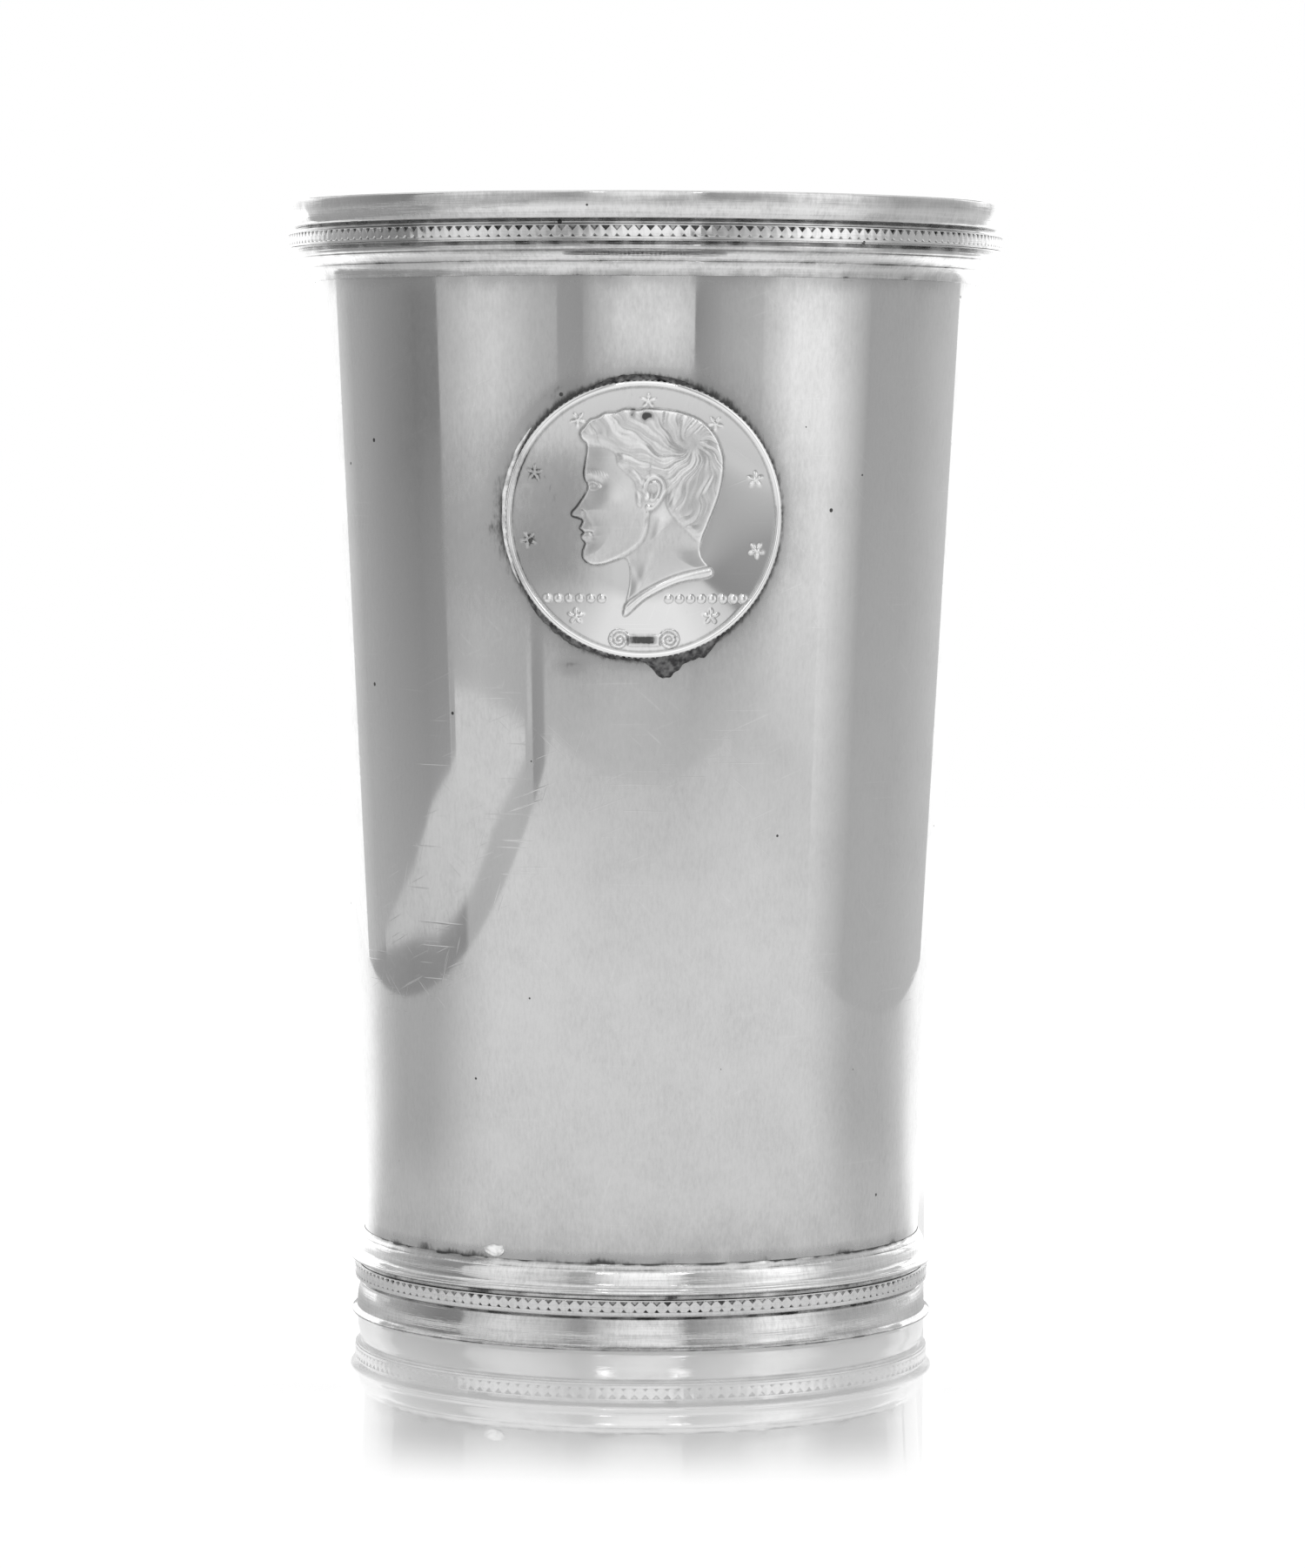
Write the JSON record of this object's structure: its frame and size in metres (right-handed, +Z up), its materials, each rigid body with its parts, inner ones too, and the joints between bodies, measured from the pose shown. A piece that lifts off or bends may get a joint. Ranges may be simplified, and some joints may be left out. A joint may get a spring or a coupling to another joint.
{
  "type": "silver beaker",
  "caption": "Tapered silver drinking beaker with moulded and milled hoops at the rim and foot and a struck coin soldered to its front.",
  "frame": {"origin": "centre of the foot's flat sole, on the surface that the beaker stands on", "axes": "+Z up along the beaker's axis; the coin faces -Y; +X to the right as seen from the front"},
  "size_m": [0.084, 0.084, 0.1287],
  "materials": {
    "silver": "old hand-polished silver with fine scratches",
    "coin_silver": "struck coin silver, lightly worn",
    "tarnished_solder": "silver solder, dark with tarnish"
  },
  "bodies": {
    "root": {"body_wall": "silver", "floor_disc": "silver", "rim_lip_moulding": "silver", "rim_milled_hoop": "silver", "rim_lower_moulding": "silver", "foot_upper_moulding": "silver", "foot_milled_hoop": "silver", "foot_base_ring": "silver", "coin": "coin_silver", "coin_solder_seam": "tarnished_solder"}
  },
  "joints": []
}
